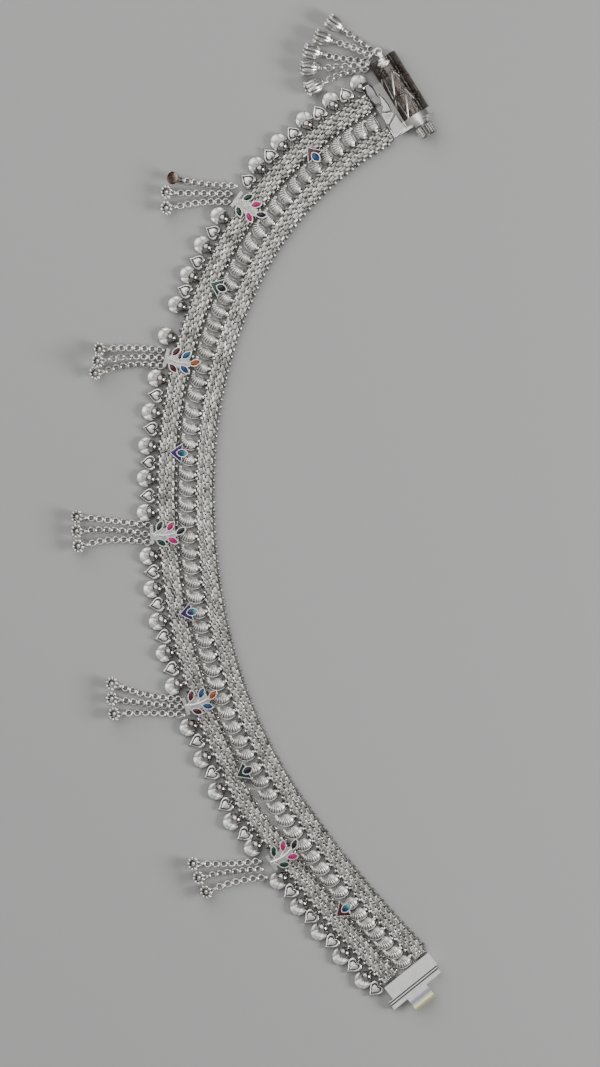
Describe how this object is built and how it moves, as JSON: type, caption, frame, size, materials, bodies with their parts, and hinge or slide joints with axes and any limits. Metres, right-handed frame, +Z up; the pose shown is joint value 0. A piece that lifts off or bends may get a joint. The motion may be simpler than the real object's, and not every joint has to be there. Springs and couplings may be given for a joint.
{
  "type": "anklet",
  "caption": "Broad silver anklet lying open: two woven bands with a row of shells between them, heart and fan drops, enamelled leaf sprigs with belled chain tassels, and a screw clasp.",
  "frame": {"origin": "centre of the bounding box in plan, on the surface that the anklet lies on", "axes": "+Z up from that surface, +Y along the anklet's longest extent, towards the clasp's bunch of bells, +X towards the open side of its curve"},
  "size_m": [0.0964, 0.2597, 0.007],
  "materials": {
    "woven_silver": "bright woven silver wire with dark tarnish between the links",
    "cast_silver": "cast silver, polished on the high places and tarnished in the low ones",
    "frosted_silver": "frosted white silver disc with a mirror-bright ball",
    "bright_silver": "polished silver with light tarnish in the corners",
    "chain_silver": "polished silver wire",
    "tarnished_silver": "stippled silver, darkened brown, with bright raised lines",
    "satin_silver": "satin silver with a fine grain",
    "steel_pin": "plain turned metal",
    "enamel_pink": "glossy pink enamel",
    "enamel_green": "glossy dark green enamel",
    "enamel_black": "glossy blue-black enamel",
    "enamel_red": "glossy dark red enamel",
    "enamel_blue": "glossy blue enamel",
    "enamel_orange": "glossy orange enamel",
    "enamel_violet": "glossy dark violet enamel",
    "enamel_cyan": "glossy teal enamel"
  },
  "bodies": {
    "root": {"inner_band": "woven_silver", "outer_band": "woven_silver", "shell_row": "cast_silver", "heart_drops": "cast_silver", "fan_drops": "frosted_silver", "leaf_plate_1": "bright_silver", "leaf_plate_2": "bright_silver", "leaf_plate_3": "bright_silver", "leaf_plate_4": "bright_silver", "leaf_plate_5": "bright_silver", "tulip_plate_1": "bright_silver", "tulip_plate_2": "bright_silver", "tulip_plate_3": "bright_silver", "tulip_plate_4": "bright_silver", "tulip_plate_5": "bright_silver", "tulip_plate_6": "bright_silver", "enamel_pink": "enamel_pink", "enamel_green": "enamel_green", "enamel_black": "enamel_black", "enamel_red": "enamel_red", "enamel_blue": "enamel_blue", "enamel_orange": "enamel_orange", "enamel_violet": "enamel_violet", "enamel_cyan": "enamel_cyan", "tassel_chains_1": "chain_silver", "tassel_chains_2": "chain_silver", "tassel_chains_3": "chain_silver", "tassel_chains_4": "chain_silver", "tassel_chains_5": "chain_silver", "tassel_chains_6": "chain_silver", "tassel_bells_1": "bright_silver", "tassel_bells_2": "bright_silver", "tassel_bells_3": "bright_silver", "tassel_bells_4": "bright_silver", "tassel_bells_5": "bright_silver", "tassel_bells_6": "bright_silver", "clasp_box": "tarnished_silver", "bunch_ring": "chain_silver", "tongue_plate": "satin_silver"},
    "screw_pin": {"screw_pin": "steel_pin"},
    "screw_knob": {"screw_knob": "bright_silver"}
  },
  "joints": [
    {"name": "screw_draw", "type": "slide", "parent": "root", "child": "screw_pin", "axis": [0.524, -0.8517, 0], "range_m": [0, 0.0165]},
    {"name": "screw_turn", "type": "hinge", "parent": "screw_pin", "child": "screw_knob", "pos_m": [0.04437, 0.09931, 0.0026], "axis": [0.524, -0.8517, 0], "continuous": true}
  ]
}
